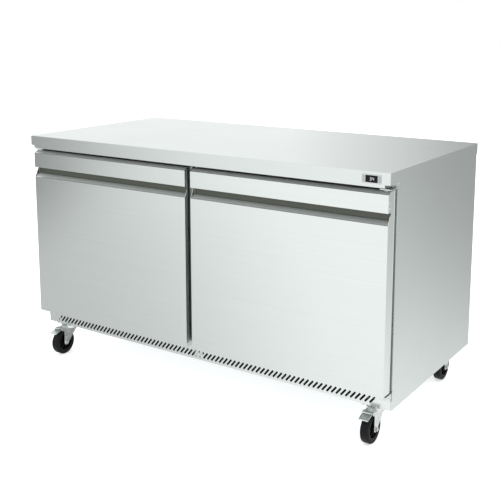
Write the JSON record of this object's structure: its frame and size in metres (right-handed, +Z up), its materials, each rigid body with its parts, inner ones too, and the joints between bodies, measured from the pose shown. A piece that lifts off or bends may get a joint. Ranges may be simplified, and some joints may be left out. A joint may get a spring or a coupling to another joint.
{
  "type": "undercounter refrigerator",
  "caption": "Low stainless steel refrigerator with a flat worktop, hinged doors with full-width recessed handles, slotted kick grille and swivel casters.",
  "frame": {"origin": "on the floor, under the middle of the cabinet's overall box", "axes": "+X along the front from the left door to the right door, +Y from the doors to the back, +Z up"},
  "size_m": [1.533, 0.762, 0.9],
  "materials": {
    "stainless": "horizontal brushed grain, satin",
    "zinc": "zinc-plated, passivated, smooth",
    "galvanised": "galvanised sheet, matt",
    "screw_steel": "bright screw heads",
    "foam": "rigid polyurethane foam, closed cell",
    "liner": "stucco-free satin sheet",
    "door_panel_liner": "vacuum-formed plastic, satin",
    "seal": "soft magnetic gasket, matt",
    "bush_plastic": "nylon",
    "controller": "moulded bezel, satin",
    "window": "dark glossy window",
    "key": "moulded keys, satin",
    "shelf_wire": "epoxy-coated wire",
    "coil": "finned coil",
    "fan": "moulded fan",
    "motor": "painted motor shell",
    "compressor": "black enamel",
    "copper": "copper tube",
    "pan": "moulded tray",
    "hub": "moulded nylon wheel centre",
    "tyre": "rubber tread"
  },
  "bodies": {
    "cabinet": {"worktop": "stainless", "side_panel_left": "stainless", "side_panel_right": "stainless", "back_panel": "galvanised", "base_pan": "galvanised", "cabinet_insulation": "foam", "inner_liner": "liner", "front_frame": "stainless", "kick_grille": "stainless", "rear_grille": "galvanised", "hinge_brackets": "zinc", "cabinet_screws": "screw_steel", "controller_housing": "controller", "display_window": "window", "shelf_left": "shelf_wire", "shelf_right": "shelf_wire", "shelf_supports": "zinc", "evaporator_coil": "coil", "evaporator_cover": "liner", "fan_motors": "motor", "condenser_coil": "coil", "compressor": "compressor", "refrigerant_pipes": "copper", "drain_pan": "pan", "caster_plates": "zinc", "caster_bolts": "screw_steel"},
    "left_door": {"left_door_skin": "stainless", "left_door_handle": "stainless", "left_door_insulation": "foam", "left_door_liner": "door_panel_liner", "left_door_gasket": "seal", "left_hinge_bushes": "bush_plastic"},
    "left_key": {"left_key": "key"},
    "right_door": {"right_door_skin": "stainless", "right_door_handle": "stainless", "right_door_insulation": "foam", "right_door_liner": "door_panel_liner", "right_door_gasket": "seal", "right_hinge_bushes": "bush_plastic"},
    "right_key": {"right_key": "key"},
    "evaporator_fan": {"evaporator_fan": "fan"},
    "condenser_fan": {"condenser_fan": "fan"},
    "front_left_caster": {"front_left_fork": "zinc", "front_left_axle": "screw_steel"},
    "front_left_wheel": {"front_left_hub": "hub", "front_left_tyre": "tyre"},
    "front_left_brake": {"front_left_brake_pedal": "zinc"},
    "front_right_caster": {"front_right_fork": "zinc", "front_right_axle": "screw_steel"},
    "front_right_wheel": {"front_right_hub": "hub", "front_right_tyre": "tyre"},
    "front_right_brake": {"front_right_brake_pedal": "zinc"},
    "rear_left_caster": {"rear_left_fork": "zinc", "rear_left_axle": "screw_steel"},
    "rear_left_wheel": {"rear_left_hub": "hub", "rear_left_tyre": "tyre"},
    "rear_right_caster": {"rear_right_fork": "zinc", "rear_right_axle": "screw_steel"},
    "rear_right_wheel": {"rear_right_hub": "hub", "rear_right_tyre": "tyre"}
  },
  "joints": [
    {"name": "left_door_hinge", "type": "hinge", "parent": "cabinet", "child": "left_door", "pos_m": [-0.7425, -0.3485, 0.5], "axis": [0, 0, -1], "range_deg": [0, 105], "stiffness_Nm_per_rad": 1.2, "springref_deg": -8.59},
    {"name": "left_key_press", "type": "slide", "parent": "cabinet", "child": "left_key", "axis": [0, 1, 0], "range_m": [0, 0.0008], "stiffness_N_per_m": 400, "springref_m": -0.0004},
    {"name": "right_door_hinge", "type": "hinge", "parent": "cabinet", "child": "right_door", "pos_m": [0.7425, -0.3485, 0.5], "axis": [0, 0, 1], "range_deg": [0, 105], "stiffness_Nm_per_rad": 1.2, "springref_deg": -8.59},
    {"name": "right_key_press", "type": "slide", "parent": "cabinet", "child": "right_key", "axis": [0, 1, 0], "range_m": [0, 0.0008], "stiffness_N_per_m": 400, "springref_m": -0.0004},
    {"name": "evaporator_fan_spin", "type": "hinge", "parent": "cabinet", "child": "evaporator_fan", "pos_m": [0, 0.2541, 0.7], "axis": [0, 1, 0], "continuous": true},
    {"name": "condenser_fan_spin", "type": "hinge", "parent": "cabinet", "child": "condenser_fan", "pos_m": [0.33, 0.2808, 0.2442], "axis": [0, 1, 0], "continuous": true},
    {"name": "front_left_swivel", "type": "hinge", "parent": "cabinet", "child": "front_left_caster", "pos_m": [-0.6925, -0.2815, 0.11], "axis": [0, 0, 1], "continuous": true},
    {"name": "front_left_wheel_spin", "type": "hinge", "parent": "front_left_caster", "child": "front_left_wheel", "pos_m": [-0.6925, -0.3195, 0.05], "axis": [1, 0, 0], "continuous": true},
    {"name": "front_left_brake_press", "type": "hinge", "parent": "front_left_caster", "child": "front_left_brake", "pos_m": [-0.6925, -0.3355, 0.106], "axis": [1, 0, 0], "range_deg": [0, 10]},
    {"name": "front_right_swivel", "type": "hinge", "parent": "cabinet", "child": "front_right_caster", "pos_m": [0.6925, -0.2815, 0.11], "axis": [0, 0, 1], "continuous": true},
    {"name": "front_right_wheel_spin", "type": "hinge", "parent": "front_right_caster", "child": "front_right_wheel", "pos_m": [0.6925, -0.3195, 0.05], "axis": [1, 0, 0], "continuous": true},
    {"name": "front_right_brake_press", "type": "hinge", "parent": "front_right_caster", "child": "front_right_brake", "pos_m": [0.6925, -0.3355, 0.106], "axis": [1, 0, 0], "range_deg": [0, 10]},
    {"name": "rear_left_swivel", "type": "hinge", "parent": "cabinet", "child": "rear_left_caster", "pos_m": [-0.6925, 0.328, 0.11], "axis": [0, 0, 1], "continuous": true},
    {"name": "rear_left_wheel_spin", "type": "hinge", "parent": "rear_left_caster", "child": "rear_left_wheel", "pos_m": [-0.6925, 0.29, 0.05], "axis": [1, 0, 0], "continuous": true},
    {"name": "rear_right_swivel", "type": "hinge", "parent": "cabinet", "child": "rear_right_caster", "pos_m": [0.6925, 0.328, 0.11], "axis": [0, 0, 1], "continuous": true},
    {"name": "rear_right_wheel_spin", "type": "hinge", "parent": "rear_right_caster", "child": "rear_right_wheel", "pos_m": [0.6925, 0.29, 0.05], "axis": [1, 0, 0], "continuous": true}
  ]
}
